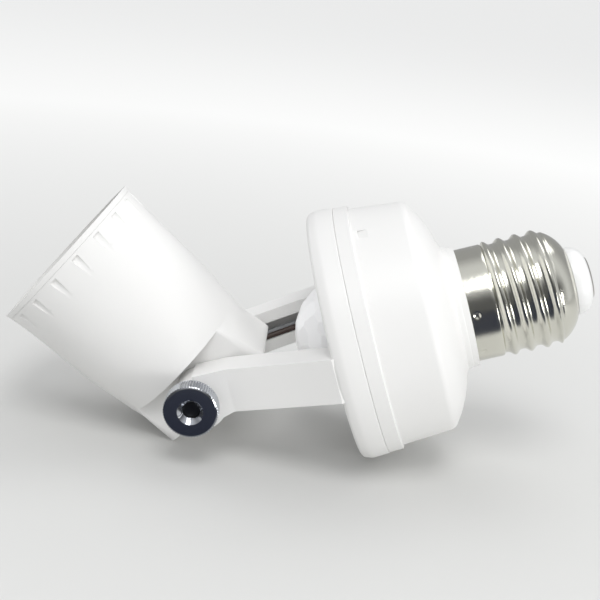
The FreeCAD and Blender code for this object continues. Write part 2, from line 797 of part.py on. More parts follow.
def make_socket_shell():
    """Threaded sleeve of the lamp socket, with the Edison screw formed on its inside."""
    start = base_top_x + slide_fit
    minor = thread_root_radius + socket_thread_play
    major = thread_crest_radius + socket_thread_play
    outer = major + socket_wall
    sleeve = disc(start, outer, socket_length).cut(disc(start + socket_floor, minor, socket_length))
    sleeve = sleeve.cut(disc(start - 1, socket_floor_opening, 4))
    first = start + socket_thread_start
    turns = math.ceil((socket_length - socket_thread_start) / thread_pitch) + 1
    sleeve = sleeve.cut(edison_ridge(minor, major, first, turns, first + 1.5 * thread_pitch))
    for z in (-socket_screw_offset, socket_screw_offset):
        sleeve = sleeve.cut(disc(start - 1, socket_screw_radius + loose_fit, 4, 0, z))
    return single(sleeve)


def make_tongue():
    """Springy centre contact: a strip fixed at one end that rises to meet the lamp."""
    start = base_top_x + slide_fit
    end = tongue_length / 2
    top = start + tongue_rise
    under = top - tongue_thickness
    tip = end - tongue_tip_length
    outline = [V(start, 0, -end), V(start, 0, tongue_bend_z), V(under, 0, tip), V(under, 0, end),
               V(top, 0, end), V(top, 0, tip - tongue_thickness / 2),
               V(start + tongue_thickness, 0, tongue_bend_z - tongue_thickness / 2),
               V(start + tongue_thickness, 0, -end)]
    face = polygon_face(outline)
    face.translate(V(0, -tongue_width / 2, 0))
    return single(face.extrude(V(0, tongue_width, 0)))


def make_tongue_rivet():
    """Rivet that fixes the centre contact to the base."""
    start = base_top_x + slide_fit + tongue_thickness
    return disc(start, rivet_radius, rivet_height, 0, rivet_inset - tongue_length / 2)


def make_socket_screws():
    """The two screws that hold the screw shell and the base in the cup."""
    seat = base_top_x + slide_fit + socket_floor
    end = base_x - socket_screw_reach
    top = seat + socket_screw_head_height
    screws = []
    for z in (-socket_screw_offset, socket_screw_offset):
        head = disc(seat, socket_screw_head_radius, socket_screw_head_height, 0, z)
        shank = disc(end, socket_screw_radius - slide_fit, seat - end, 0, z)
        slot = block(top - drive_slot_depth, top + 1, -drive_slot_width / 2, drive_slot_width / 2,
                     z - 2 * socket_screw_head_radius, z + 2 * socket_screw_head_radius)
        screws.append(single(head.fuse(shank).cut(slot)))
    return Part.Compound(screws)


def make_pivot_screw():
    """Near pivot screw: its head bears inside the block and its thread carries the nut."""
    head = pin_along_y(-head_seat_y, screw_head_radius, screw_head_height, 0, 0)
    shank = pin_along_y(-screw_end_y, screw_radius, screw_end_y - head_seat_y, 0, 0)
    drive = block(-screw_head_radius - 1, screw_head_radius + 1, -head_seat_y + screw_head_height - 0.9,
                  -head_seat_y + screw_head_height + 1, -0.5, 0.5)
    return single(head.fuse(shank).cut(drive))


def make_washer():
    """Near washer between the lug and the nut."""
    ring = pin_along_y(-nut_back_y, washer_radius, washer_thickness, 0, 0)
    return ring.cut(pin_along_y(-nut_back_y - 1, screw_radius + slide_fit, washer_thickness + 2, 0, 0))


def make_knurled_nut():
    """Near thumb nut: straight knurl, chamfered faces and a countersunk hole."""
    points = []
    for index in range(nut_teeth):
        for radius, share in ((nut_radius - nut_tooth_depth, 0.0), (nut_radius, 0.5)):
            angle = 2 * math.pi * (index + share) / nut_teeth
            points.append(V(radius * math.cos(angle), -nut_front_y, radius * math.sin(angle)))
    star = polygon_face(points).extrude(V(0, nut_thickness, 0))
    c = nut_chamfer
    inner = nut_countersink_radius
    bore = screw_radius + slide_fit
    depth = inner - bore
    rim = [(bore, 0), (bore, nut_thickness - depth), (inner, nut_thickness), (nut_radius - c, nut_thickness),
           (nut_radius, nut_thickness - c), (nut_radius, c * 0.6), (nut_radius - c * 0.6, 0)]
    section = [V(radius, -nut_back_y - along, 0) for radius, along in rim]
    envelope = polygon_face(section).revolve(V(0, 0, 0), V(0, 1, 0), 360)
    return single(star.common(envelope))


def path_tube(points, radius, bend):
    """Lead of round section along straight runs joined by tangent arcs."""
    edges = []
    last = points[0]
    for index in range(1, len(points) - 1):
        here = points[index]
        back = (points[index - 1] - here).normalize()
        ahead = (points[index + 1] - here).normalize()
        half = back.getAngle(ahead) / 2
        reach = bend / math.tan(half)
        first = here + back * reach
        end = here + ahead * reach
        middle = here + (back + ahead).normalize() * (bend / math.sin(half) - bend)
        edges.append(Part.LineSegment(last, first).toShape())
        edges.append(Part.Arc(first, middle, end).toShape())
        last = end
    edges.append(Part.LineSegment(last, points[-1]).toShape())
    path = Part.Wire(edges)
    direction = (points[1] - points[0]).normalize()
    section = Part.Wire([Part.makeCircle(radius, points[0], direction)])
    tube = path.makePipeShell([section], True, True)
    return tube.Solids[0] if tube.Solids else Part.Solid(tube)


def arm_lead(depth, z, board_y):
    """One lead in the far arm: from the board through the front wall and along the channel."""
    start = V(board_x - loose_fit, board_y, z)
    root_y = arm_outer_y - arm_depth_y + depth
    bend_y = lug_inner_y + depth
    turn = V(arm_bend_x, bend_y, z)
    end = V(channel_end_x + loose_fit, bend_y, z)
    mouth = V(-1.0, root_y - arm_slope, z)
    return path_tube([start, mouth, turn, end], lead_radius, lead_bend)


def cup_pose(shape):
    """Takes a piece from the cup frame to the body frame."""
    placed = shape.copy()
    placed.rotate(V(0, 0, 0), V(0, 1, 0), 180.0 + cup_tilt)
    placed.translate(V(pivot_x, 0, pivot_z))
    return placed


def at_pivot(shape):
    """Takes a piece drawn about the pivot axis to the pivot in the body frame."""
    return shape.translated(V(pivot_x, 0, pivot_z))


def make_board():
    """Round circuit board with its three screw holes."""
    board = disc(board_x, board_radius, board_thickness)
    for y, z in ring_positions(3, board_screw_ring, board_screw_first_angle):
        board = board.cut(disc(board_x - 1, board_screw_radius + loose_fit, board_thickness + 2, y, z))
    return single(board)


def make_board_screws():
    """The three screws that hold the board on the posts of the front cover."""
    screws = []
    top = board_back_x + board_screw_head_height
    for y, z in ring_positions(3, board_screw_ring, board_screw_first_angle):
        head = disc(board_back_x, board_screw_head_radius, board_screw_head_height, y, z)
        length = board_screw_reach + board_thickness
        shank = disc(board_back_x - length, board_screw_radius - slide_fit, length, y, z)
        slot = block(top - drive_slot_depth, top + 1, y - drive_slot_width / 2, y + drive_slot_width / 2,
                     z - 2 * board_screw_head_radius, z + 2 * board_screw_head_radius)
        screws.append(single(head.fuse(shank).cut(slot)))
    return Part.Compound(screws)


def make_sensor():
    """Motion sensor: a metal can on a flange, with a square window that faces the lens."""
    flange = disc(board_x - sensor_flange_thickness, sensor_flange_radius, sensor_flange_thickness)
    front = board_x - sensor_can_height
    can = turned([(board_x, 0, 0), (front, 0, 0), (front, sensor_can_radius, 0.5),
                  (board_x, sensor_can_radius, 0)])
    half = sensor_window / 2
    window = block(front - 1, front + sensor_window_depth, -half, half, -half, half)
    return single(flange.fuse(can).cut(window))


def make_light_sensor():
    """Light sensor: a small disc that stands on the board under the lens."""
    return disc(board_x - light_sensor_height, light_sensor_radius, light_sensor_height, 0, light_sensor_z)


def lying_parts(count, radius, length, y, z, pitch):
    """Like small parts that lie side by side on the back of the board."""
    pieces = []
    for index in range(count):
        place = V(board_back_x + radius, y + pitch * index, z - length / 2)
        pieces.append(Part.makeCylinder(radius, length, place, V(0, 0, 1)))
    return Part.Compound(pieces)


def make_live_lead():
    """Lead from the board to the hollow stem of the cap's centre contact."""
    end_x = contact_x - contact_thickness - 0.2
    return disc(board_back_x, cap_lead_radius - slide_fit, end_x - board_back_x)


def make_shell_lead():
    """Lead from the board to the inside of the threaded cap."""
    wall_z = -(thread_root_radius - cap_sheet - cap_lead_radius - slide_fit)
    clear_x = neck_end_x + spigot_length + 3 * cap_lead_radius
    points = [V(board_back_x, 0, shell_lead_z), V(neck_end_x, 0, shell_lead_z),
              V(clear_x, 0, wall_z), V(shell_lead_end_x, 0, wall_z)]
    return path_tube(points, cap_lead_radius, inner_lead_bend)


def make_cup_lead(sign):
    """Lead inside the block, from the port in the far flat to the socket base."""
    x = cup_port_x + sign * cup_lead_spread
    end_y = cup_lead_end_y + sign * cup_lead_end_step
    start = V(x, block_half_width - seat_gap, cup_port_z)
    points = [start, V(x, end_y, cup_port_z), V(base_x, end_y, cup_port_z)]
    return path_tube(points, lead_radius, inner_lead_bend)


def board_box(size, y, z):
    """Box-shaped component standing on the back of the board."""
    depth, width, height = size
    end_x = board_back_x + depth
    box = block(board_back_x, end_x, y - width / 2, y + width / 2, z - height / 2, z + height / 2)
    return box.makeFillet(component_corner_round, long_edges(box))


def corner_circle(corners, index):
    """Centre and radius of the arc that rounds one corner of an (a, b, radius) outline."""
    a, b, radius = corners[index]
    here = V(a, b, 0)
    to_before = (V(corners[index - 1][0], corners[index - 1][1], 0) - here).normalize()
    to_after = (V(corners[index + 1][0], corners[index + 1][1], 0) - here).normalize()
    half = to_before.getAngle(to_after) / 2
    return here + (to_before + to_after).normalize() * (radius / math.sin(half)), radius


def rest_angle():
    """Angle that lays the rim of the body and the back edge of the cup on one level."""
    rims = [corner_circle(cover_corners(), 1), corner_circle(cover_corners(), 2)]
    tilt = math.radians(cup_tilt)
    corner, corner_round = corner_circle(block_corners(), 1)
    edge_x = pivot_x - corner.x * math.cos(tilt) - corner.y * math.sin(tilt)
    edge_z = pivot_z + corner.x * math.sin(tilt) - corner.y * math.cos(tilt)
    low = 0.0
    high = math.pi / 3
    for _ in range(60):
        angle = (low + high) / 2
        body = min(c.x * math.sin(angle) - c.y * math.cos(angle) - radius for c, radius in rims)
        cup = edge_x * math.sin(angle) + edge_z * math.cos(angle) - corner_round
        if cup > body:
            low = angle
        else:
            high = angle
    return math.degrees(low)


def make_parts():
    """Every piece in the body frame, by name."""
    parts = {
        "front_cover": make_front_cover(),
        "rear_shell": make_rear_shell(),
        "sensor_lens": make_lens(),
        "motion_sensor": make_sensor(),
        "light_sensor": make_light_sensor(),
        "circuit_board": make_board(),
        "board_screws": make_board_screws(),
        "relay": board_box(relay_size, relay_y, relay_z),
        "film_capacitor": board_box(film_size, film_y, film_z),
        "bulk_capacitor": disc(board_back_x, bulk_radius, bulk_height, bulk_y, bulk_z),
        "control_chip": board_box(chip_size, chip_y, chip_z),
        "diodes": lying_parts(diode_count, diode_radius, diode_length, diode_y, diode_z, diode_pitch),
        "resistors": lying_parts(resistor_count, resistor_radius, resistor_length, resistor_y, resistor_z,
                                 resistor_pitch),
        "cap_shell": make_cap_shell(),
        "cap_insulator": make_cap_insulator(),
        "cap_contact": make_cap_contact(),
        "cap_live_lead": make_live_lead(),
        "cap_shell_lead": make_shell_lead(),
        "arm_lead_grey": arm_lead(grey_lead_depth, grey_lead_z, board_radius - grey_lead_inset),
        "arm_lead_brown": arm_lead(brown_lead_depth, brown_lead_z, board_radius - brown_lead_inset),
    }
    for name, shape in (("lamp_cup", make_lamp_cup()), ("socket_base", make_socket_base()),
                        ("socket_shell", make_socket_shell()), ("socket_contact", make_tongue()),
                        ("contact_rivet", make_tongue_rivet()), ("socket_screws", make_socket_screws()),
                        ("cup_lead_grey", make_cup_lead(1)), ("cup_lead_brown", make_cup_lead(-1))):
        parts[name] = cup_pose(shape)
    screw = cup_pose(make_pivot_screw())
    washer = at_pivot(make_washer())
    nut = at_pivot(make_knurled_nut())
    for side, placed in (("near", lambda shape: shape), ("far", mirrored_y)):
        parts["pivot_screw_" + side] = placed(screw)
        parts["washer_" + side] = placed(washer)
        parts["thumb_nut_" + side] = placed(nut)
    return parts


def laid_down(parts):
    """The pieces turned to their rest, with the origin under the middle of the whole on the floor."""
    angle = rest_angle()
    turned_parts = {}
    whole = FreeCAD.BoundBox()
    for name, shape in parts.items():
        copy = shape.copy()
        copy.rotate(V(0, 0, 0), V(0, 1, 0), -angle)
        turned_parts[name] = copy
        if name in ("front_cover", "lamp_cup", "cap_shell", "cap_insulator", "cap_contact", "rear_shell"):
            whole.add(copy.optimalBoundingBox(False, False))
    shift = V(-(whole.XMin + whole.XMax) / 2, 0, -whole.ZMin)
    return {name: shape.translated(shift) for name, shape in turned_parts.items()}


os.makedirs("parts", exist_ok=True)
for part_name, part_shape in laid_down(make_parts()).items():
    part_shape.exportStep("parts/" + part_name + ".step")
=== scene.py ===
import json
import math
import bmesh
import bpy
from mathutils import Matrix, Vector


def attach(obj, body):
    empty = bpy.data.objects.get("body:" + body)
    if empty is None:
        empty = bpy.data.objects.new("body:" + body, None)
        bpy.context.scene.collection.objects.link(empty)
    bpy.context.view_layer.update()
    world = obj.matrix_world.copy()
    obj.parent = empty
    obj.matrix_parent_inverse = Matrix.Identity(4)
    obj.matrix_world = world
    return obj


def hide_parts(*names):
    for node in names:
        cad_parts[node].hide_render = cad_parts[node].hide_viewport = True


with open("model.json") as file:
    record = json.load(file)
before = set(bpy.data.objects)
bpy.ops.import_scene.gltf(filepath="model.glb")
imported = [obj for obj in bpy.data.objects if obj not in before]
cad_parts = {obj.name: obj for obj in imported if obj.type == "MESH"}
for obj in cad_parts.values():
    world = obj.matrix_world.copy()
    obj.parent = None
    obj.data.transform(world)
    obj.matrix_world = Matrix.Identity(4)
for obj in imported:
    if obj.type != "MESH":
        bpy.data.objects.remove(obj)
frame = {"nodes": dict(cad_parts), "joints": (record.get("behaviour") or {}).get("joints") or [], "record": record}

bl_info = {
    "name": "Motion sensor lamp holder",
    "version": (1, 0, 0),
    "blender": (4, 5, 0),
    "location": "3D View > Sidebar > Lamp holder",
    "description": "Dresses the packed lamp holder: smooth shells, screw cap, lens, nuts and their finishes",
    "category": "Object",
}

MM = 0.001
RECORD = frame["record"]
NODES = frame["nodes"]
MOUNTS = {mount["name"]: mount for mount in RECORD["mounts"]}
JOINTS = {joint["name"]: joint for joint in frame["joints"]}

# Places of the body and of the cup in the row frame, from the record
NECK_END = 29.95
BODY_AXIS = Vector(MOUNTS["screw_cap"]["axis"]).normalized()
NECK_SEAT = Vector(MOUNTS["neck_seat"]["pos_m"])
PIVOT = Vector(JOINTS["cup_tilt"]["pos_m"])
MOUTH_AXIS = Vector(MOUNTS["lamp_socket"]["axis"]).normalized()
SIDE = Vector((0.0, 1.0, 0.0))


def frame_of(axis, origin):
    """Matrix from a part's own millimetres, X along axis and Y along the pivot, to the row frame."""
    turn = Matrix((axis, SIDE, axis.cross(SIDE))).transposed().to_4x4()
    return Matrix.Translation(origin) @ turn @ Matrix.Scale(MM, 4)


BODY = frame_of(BODY_AXIS, Vector((NECK_SEAT.x, 0.0, NECK_SEAT.z)) - BODY_AXIS * NECK_END * MM)
CUP = frame_of(MOUTH_AXIS, PIVOT)


def deg(angle):
    """Degrees as radians."""
    return math.radians(angle)


class HolderSizes(bpy.types.PropertyGroup):
    """Sizes of the pieces that are drawn here."""
    turns: bpy.props.IntProperty(name="Steps round", description="Facets round a turned piece", default=192)
    punch_depth: bpy.props.FloatProperty(name="Punch depth", description="Depth of the crimp marks",
                                         subtype="DISTANCE", default=0.35 * MM, min=0.0, max=1.0 * MM)
    thread_pitch: bpy.props.FloatProperty(name="Thread pitch", description="Pitch of the screw cap",
                                          subtype="DISTANCE", default=3.629 * MM, min=3.0 * MM, max=4.5 * MM)


class HolderColours(bpy.types.PropertyGroup):
    """Colours of the finishes."""
    plastic: bpy.props.FloatVectorProperty(name="Plastic", description="White moulded shells and cup",
                                           subtype="COLOR", size=3, default=(0.86, 0.855, 0.84))
    nickel: bpy.props.FloatVectorProperty(name="Nickel", description="Screw cap and socket sleeve",
                                          subtype="COLOR", size=3, default=(0.80, 0.79, 0.71))
    nut: bpy.props.FloatVectorProperty(name="Nut", description="Knurled nuts", subtype="COLOR", size=3,
                                       default=(0.62, 0.64, 0.68))
    lens: bpy.props.FloatVectorProperty(name="Lens", description="Sensor lens", subtype="COLOR", size=3,
                                        default=(0.95, 0.95, 0.955))
    floor: bpy.props.FloatVectorProperty(name="Floor", description="Floor under the holder", subtype="COLOR",
                                         size=3, default=(0.665, 0.665, 0.65))


class Term:
    """One shader value, on which Python's operators add Math nodes."""

    def __init__(self, shade, socket):
        self.shade = shade
        self.socket = socket

    def maths(self, operation, first, second):
        """A Math node on two values or terms."""
        return self.shade.node("ShaderNodeMath", {"operation": operation}, {0: first, 1: second})

    def __add__(self, other):
        return self.maths("ADD", self, other)

    def __rsub__(self, other):
        return self.maths("SUBTRACT", other, self)

    def __mul__(self, other):
        return self.maths("MULTIPLY", self, other)


# Sockets of a Mix node that is set to colours
MIX_FACTOR = 0
MIX_FIRST = 6
MIX_SECOND = 7
MIX_COLOUR = 2


class Nodes:
    """A shader tree to which nodes are added one by one."""

    def __init__(self, tree):
        self.tree = tree

    def node(self, kind, settings, inputs, output=0):
        """Adds a node: its settings first, then the values or links of its sockets."""
        made = self.tree.nodes.new(kind)
        for key, value in settings.items():
            setattr(made, key, value)
        for key, value in inputs.items():
            if isinstance(value, Term):
                self.tree.links.new(value.socket, made.inputs[key])
            else:
                made.inputs[key].default_value = value
        return Term(self, made.outputs[output])

    def ramp(self, value, low, high):
        """Value taken from low..high to 0..1, clamped."""
        return self.node("ShaderNodeMapRange", {"clamp": True},
                         {"Value": value, "From Min": low, "From Max": high, "To Min": 0.0, "To Max": 1.0})

    def part_of(self, vector, axis):
        """One of the three numbers of a vector."""
        return self.node("ShaderNodeSeparateXYZ", {}, {"Vector": vector}, axis)

    def ray_is(self, kind):
        """1 for rays of one kind, such as Is Camera Ray."""
        return self.node("ShaderNodeLightPath", {}, {}, kind)

    def blend(self, factor, first, second):
        """Colour that goes from first to second as factor goes to 1."""
        colours = {MIX_FACTOR: factor, MIX_FIRST: (*first, 1.0), MIX_SECOND: (*second, 1.0)}
        return self.node("ShaderNodeMix", {"data_type": "RGBA"}, colours, MIX_COLOUR)


class Shade(Nodes):
    """A material with one Principled shader, and the nodes that feed it."""

    def __init__(self, name, colour, constants):
        self.material = bpy.data.materials.new(name)
        self.material.use_nodes = True
        super().__init__(self.material.node_tree)
        self.shader = self.tree.nodes["Principled BSDF"]
        self.shader.inputs["Base Color"].default_value = (*colour, 1.0)
        self.colour = tuple(colour)
        for socket, value in constants.items():
            self.shader.inputs[socket].default_value = value

    def place(self):
        """Object coordinates, in metres."""
        return self.node("ShaderNodeTexCoord", {}, {}, "Object")

    def noise(self, scale, detail=2.0, roughness=0.5):
        """Cloudy pattern between 0 and 1, about 0.5 on average."""
        pattern = {"Vector": self.place(), "Scale": scale, "Detail": detail, "Roughness": roughness}
        return self.node("ShaderNodeTexNoise", {}, pattern, "Fac")

    def feed(self, socket, term):
        """Links a term to a socket of the shader."""
        self.tree.links.new(term.socket, self.shader.inputs[socket])

    def tint(self, factor, other):
        """Base colour that goes from the material's own to other as factor goes to 1."""
        self.feed("Base Color", self.blend(factor, self.colour, other))

    def relief(self, height, distance, strength):
        """Small unevenness of the surface, with its depth in metres."""
        bump = self.node("ShaderNodeBump", {}, {"Height": height, "Distance": distance, "Strength": strength})
        self.feed("Normal", bump)


def shade_down(colour, factor):
    """The colour times a factor."""
    return tuple(channel * factor for channel in colour)


# Noise scales of the finishes, and depth of the plastic's grain in metres
PLASTIC_CLOUDS = 60.0
PLASTIC_GRAIN = 2600.0
PLASTIC_GRAIN_DEPTH = 0.00002
LENS_CLOUDS = 90.0
METAL_CLOUDS = 90.0
METAL_GRAIN = 700.0

# Distances from the middle, in metres, over which a pivot screw's colour darkens: painted shade deep in its nut
PAINTED_SHADE_SPAN = (0.0217, 0.0222)

# Colour and roughness of each plain plastic
PLASTICS = {
    "cell_face": ((0.35, 0.12, 0.06), 0.6),
    "board_green": ((0.05, 0.16, 0.05), 0.4),
    "relay_case": ((0.02, 0.09, 0.38), 0.45),
    "capacitor_case": ((0.55, 0.28, 0.03), 0.35),
    "capacitor_sleeve": ((0.012, 0.012, 0.014), 0.3),
    "chip_black": ((0.014, 0.014, 0.014), 0.5),
    "resistor_body": ((0.28, 0.42, 0.52), 0.4),
    "white_insulator": ((0.87, 0.87, 0.86), 0.3),
    "grey_sleeve": ((0.36, 0.37, 0.385), 0.35),
    "brown_sleeve": ((0.060, 0.038, 0.030), 0.4),
    "socket_insulator": ((0.70, 0.685, 0.65), 0.5),
}

# Colour, roughness, its spread and depth of grain in metres of each plain metal
METALS = {
    "contact_metal": ((0.55, 0.53, 0.50), 0.3, 0.1, 0.00003),
    "sensor_can": ((0.62, 0.62, 0.60), 0.3, 0.1, 0.00002),
    "spring_brass": ((0.72, 0.50, 0.20), 0.28, 0.1, 0.00002),
}

FINISHES = {}


def plastic_finish(name, colour, roughness):
    """Moulded plastic: faint clouds in colour and gloss, and a very fine grain."""
    shade = Shade(name, colour, {"Roughness": roughness, "Specular IOR Level": 0.5})
    cloud = shade.noise(PLASTIC_CLOUDS, 3.0)
    shade.tint(cloud, shade_down(colour, 0.965))
    shade.feed("Roughness", cloud * 0.10 + (roughness - 0.05))
    shade.relief(shade.noise(PLASTIC_GRAIN), PLASTIC_GRAIN_DEPTH, 0.5)
    FINISHES[name] = shade.material


def lens_finish(name, colour):
    """Milky plastic with a painted glow of its own, and painted shade that differs from facet to facet."""
    # Painted glow: the lens gives off a little light of its own, in faint clouds
    shade = Shade(name, colour, {"Roughness": 0.5, "Specular IOR Level": 0.5, "Emission Strength": 0.15})
    # Painted shade: each facet darkens its colour by its own amount
    painted_shade = shade.node("ShaderNodeAttribute", {"attribute_name": "facet_painted_shade"}, {}, "Fac")
    shade.tint(painted_shade, shade_down(colour, 0.86))
    shade.feed("Emission Color", shade.noise(LENS_CLOUDS) * 0.2 + 0.9)
    FINISHES[name] = shade.material


def metal_shade(name, colour, roughness, spread, grain):
    """Plated metal with cloudy gloss and fine unevenness, and the clouds that its colour may follow."""
    shade = Shade(name, colour, {"Metallic": 1.0, "Roughness": roughness})
    cloud = shade.noise(METAL_CLOUDS, 4.0, 0.6)
    shade.feed("Roughness", cloud * spread + (roughness - spread / 2))
    shade.relief(shade.noise(METAL_GRAIN), grain, 0.4)
    FINISHES[name] = shade.material
    return shade, cloud


def metal_finish(name, colour, roughness, spread, grain):
    """Plated metal with faint clouds in its colour."""
    shade, cloud = metal_shade(name, colour, roughness, spread, grain)
    shade.tint(cloud, shade_down(colour, 0.88))


def screw_finish(name, colour):
    """Zinc-plated steel with painted shade that darkens a pivot screw's end, deep in its nut."""
    shade = metal_shade(name, colour, 0.32, 0.1, 0.00002)[0]
    across = shade.part_of(shade.place(), "Y")
    start, end = PAINTED_SHADE_SPAN
    # Painted shade: the colour falls to a fifth of its own towards the screw's end
    shade.tint(shade.ramp(across * across, start ** 2, end ** 2), shade_down(colour, 0.2))


def make_finishes(looks):
    """All finishes, one for each material slot of the record."""
    plastic_finish("white_plastic", looks.plastic, 0.45)
    lens_finish("lens_plastic", looks.lens)
    metal_finish("nickel_plate", looks.nickel, 0.19, 0.12, 0.00004)
    metal_finish("polished_nut", looks.nut, 0.12, 0.05, 0.00001)
    screw_finish("zinc_steel", (0.60, 0.60, 0.59))
    for name, look in PLASTICS.items():
        plastic_finish(name, *look)
    for name, look in METALS.items():
        metal_finish(name, *look)


def dress(piece, finish):
    """Gives the whole piece one finish."""
    piece.data.materials.clear()
    piece.data.materials.append(FINISHES[finish])


# CAD facets that meet at a shallower angle are shaded as one surface
NODE_SHARP = 30.0
WELD_DISTANCE = 0.000002


def smooth_node(node):
    """Rounds the shading of a CAD node where its facets meet at a shallow angle."""
    for face in node.data.polygons:
        face.use_smooth = True
    weld = node.modifiers.new("joined", "WELD")
    weld.merge_threshold = WELD_DISTANCE
    split = node.modifiers.new("edges", "EDGE_SPLIT")
    split.split_angle = deg(NODE_SHARP)
    split.use_edge_sharp = False


def finished(form, name, place, body, slot, stands_for, sharp=35.0):
    """Turns a bmesh in millimetres into a piece that rides on a body and stands for CAD nodes."""
    bmesh.ops.transform(form, matrix=place, verts=form.verts)
    bmesh.ops.recalc_face_normals(form, faces=form.faces)
    mesh = bpy.data.meshes.new(name)
    form.to_mesh(mesh)
    form.free()
    mesh.shade_smooth()
    mesh.set_sharp_from_angle(angle=deg(sharp))
    piece = bpy.data.objects.new(name, mesh)
    bpy.context.scene.collection.objects.link(piece)
    dress(piece, slot)
    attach(piece, body)
    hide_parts(*stands_for)
    return piece


def outline(form, points):
    """A closed run of edges through (x, radius) points in the XZ plane."""
    verts = [form.verts.new((x, 0.0, radius)) for x, radius in points]
    edges = [form.edges.new((verts[index - 1], verts[index])) for index in range(len(verts))]
    return verts + edges


def spun(points, steps):
    """Closed shell turned about X from a closed (x, radius) outline."""
    form = bmesh.new()
    bmesh.ops.spin(form, geom=outline(form, points), cent=(0, 0, 0), axis=(1, 0, 0), angle=deg(360),
                   steps=steps, use_merge=True)
    bmesh.ops.remove_doubles(form, verts=form.verts, dist=0.0005)
    return form


def arc_points(a, b, c, count):
    """Points on the arc through a, b and c, both ends included."""
    ax, ay = a
    bx, by = b
    cx, cy = c
    d = 2 * (ax * (by - cy) + bx * (cy - ay) + cx * (ay - by))
    squares = [x * x + y * y for x, y in (a, b, c)]
    ux = (squares[0] * (by - cy) + squares[1] * (cy - ay) + squares[2] * (ay - by)) / d
    uy = (squares[0] * (cx - bx) + squares[1] * (ax - cx) + squares[2] * (bx - ax)) / d
    radius = math.hypot(ax - ux, ay - uy)
    start = math.atan2(ay - uy, ax - ux)
    end = math.atan2(cy - uy, cx - ux)
    sweep = (end - start + math.pi) % (2 * math.pi) - math.pi
    turns = [start + sweep * step / count for step in range(count + 1)]
    return [(ux + radius * math.cos(turn), uy + radius * math.sin(turn)) for turn in turns]


def turned_about_x(angle):
    """Direction of a place on a turned piece, in degrees from its top towards the near side."""
    return Vector((0.0, -math.sin(deg(angle)), math.cos(deg(angle))))


def round_angle(co):
    """Angle of a point about X, in turns from the top towards the near side."""
    return math.atan2(-co.y, co.z) / (2 * math.pi)


def set_radius(vert, radius):
    """Moves a vertex straight in or out to a radius about X."""
    now = math.hypot(vert.co.y, vert.co.z)
    vert.co.y *= radius / now
    vert.co.z *= radius / now


def cut_open(form, place, outward):
    """Slices a closed form by a plane, drops what lies outside it and fills the cut flat."""
    geometry = form.verts[:] + form.edges[:] + form.faces[:]
    cut = bmesh.ops.bisect_plane(form, geom=geometry, plane_co=place, plane_no=outward, clear_outer=True,
                                 dist=1e-5)
    rim = [item for item in cut["geom_cut"] if isinstance(item, bmesh.types.BMEdge)]
    bmesh.ops.holes_fill(form, edges=rim, sides=0)


# Section of the rear shell: x along the body's axis and radius, in mm
SHELL_LIP = [(3.5, 25.2), (3.5, 26.3), (6.15, 26.3)]
SHELL_BAND = [(6.15, 28.2), (9.3, 28.05), (9.5, 27.25)]
SHELL_CORNER = ((20.3, 26.27), (21.55, 25.9), (22.39, 24.985))
SHELL_SHOULDER = ((21.5, 26.15), (24.4, 21.7), (26.6, 15.7))
SHELL_NECK = [(27.3, 14.1), (28.5, 13.92), (28.5, 13.74), (NECK_END, 13.67), (NECK_END, 12.37)]
SHELL_SPIGOT = [(35.35, 12.37), (35.35, 10.87), (24.8, 10.87)]
SHELL_INSIDE = ((20.1, 24.9), (22.6, 21.0), (24.8, 15.2))
SHELL_INSIDE_END = [(9.3, 25.35)]
SHELL_SOFT_EDGE = 0.1

# Pry notches: a wedge that starts under the surface at the front and runs out of it at the back, in mm
NOTCH_FRONT = (10.6, 26.7)
NOTCH_BACK = (15.2, 27.2)
NOTCH_WIDTH = 2.6
NOTCH_TOP = 30.0
NOTCH_ANGLES = (24.0, 204.0)


def notch_tool():
    """Object that cuts both pry notches."""
    form = bmesh.new()
    for angle in NOTCH_ANGLES:
        wedge = bmesh.ops.create_cube(form, size=1.0)["verts"]
        for vert in wedge:
            x, floor = NOTCH_BACK if vert.co.x > 0 else NOTCH_FRONT
            vert.co = Vector((x, vert.co.y * NOTCH_WIDTH, NOTCH_TOP if vert.co.z > 0 else floor))
        bmesh.ops.rotate(form, cent=(0, 0, 0), matrix=Matrix.Rotation(deg(angle), 3, "X"), verts=wedge)
    bmesh.ops.transform(form, matrix=BODY, verts=form.verts)
    bmesh.ops.recalc_face_normals(form, faces=form.faces)
    mesh = bpy.data.meshes.new("notch_tool")
    form.to_mesh(mesh)
    form.free()
    tool = bpy.data.objects.new("notch_tool", mesh)
    bpy.context.scene.collection.objects.link(tool)
    return tool


class LAMPHOLDER_OT_rear_shell(bpy.types.Operator):
    """Turns the rear shell with its band, rounded shoulder, neck and pry notches"""
    bl_idname = "lampholder.rear_shell"
    bl_label = "Rear shell"

    def execute(self, context):
        corner = arc_points(*SHELL_CORNER, 8)
        shoulder = arc_points(*SHELL_SHOULDER, 16)
        inside = arc_points(*SHELL_INSIDE, 8)[::-1]
        points = SHELL_LIP + SHELL_BAND + corner[:-1] + shoulder[2:] + SHELL_NECK + SHELL_SPIGOT
        points += inside + SHELL_INSIDE_END
        shell = finished(spun(points, context.scene.holder_sizes.turns), "rear_shell_skin", BODY, "holder",
                         "white_plastic", ["rear_shell"])
        tool = notch_tool()
        cut = shell.modifiers.new("notches", "BOOLEAN")
        cut.operation = "DIFFERENCE"
        cut.object = tool
        context.view_layer.objects.active = shell
        with context.temp_override(object=shell, active_object=shell):
            bpy.ops.object.modifier_apply(modifier="notches")
        bpy.data.objects.remove(tool)
        bevel = shell.modifiers.new("soft edges", "BEVEL")
        bevel.width = SHELL_SOFT_EDGE * MM
        bevel.segments = 2
        bevel.limit_method = "ANGLE"
        bevel.angle_limit = deg(35.0)
        bevel.harden_normals = False
        return {"FINISHED"}


